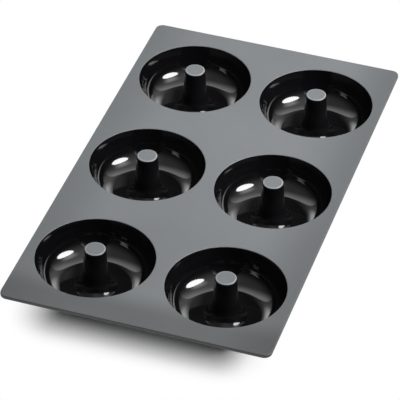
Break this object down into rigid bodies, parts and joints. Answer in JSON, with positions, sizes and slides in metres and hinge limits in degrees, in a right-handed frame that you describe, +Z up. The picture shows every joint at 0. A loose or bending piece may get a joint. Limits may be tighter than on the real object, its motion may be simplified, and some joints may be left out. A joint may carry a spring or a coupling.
{
  "type": "doughnut pan",
  "caption": "Flexible silicone baking mould: a flat rounded sheet with a grid of ring-shaped cups, each with a tapered post standing past the sheet.",
  "frame": {"origin": "on the table under the middle of the pan", "axes": "+X across the short side, +Y along the long side towards the back edge, +Z up out of the cups"},
  "size_m": [0.172, 0.3, 0.032],
  "materials": {
    "silicone": "satin on the sheet and the post crowns, high gloss inside the cups"
  },
  "bodies": {
    "root": {"doughnut_pan": "silicone"}
  },
  "joints": []
}
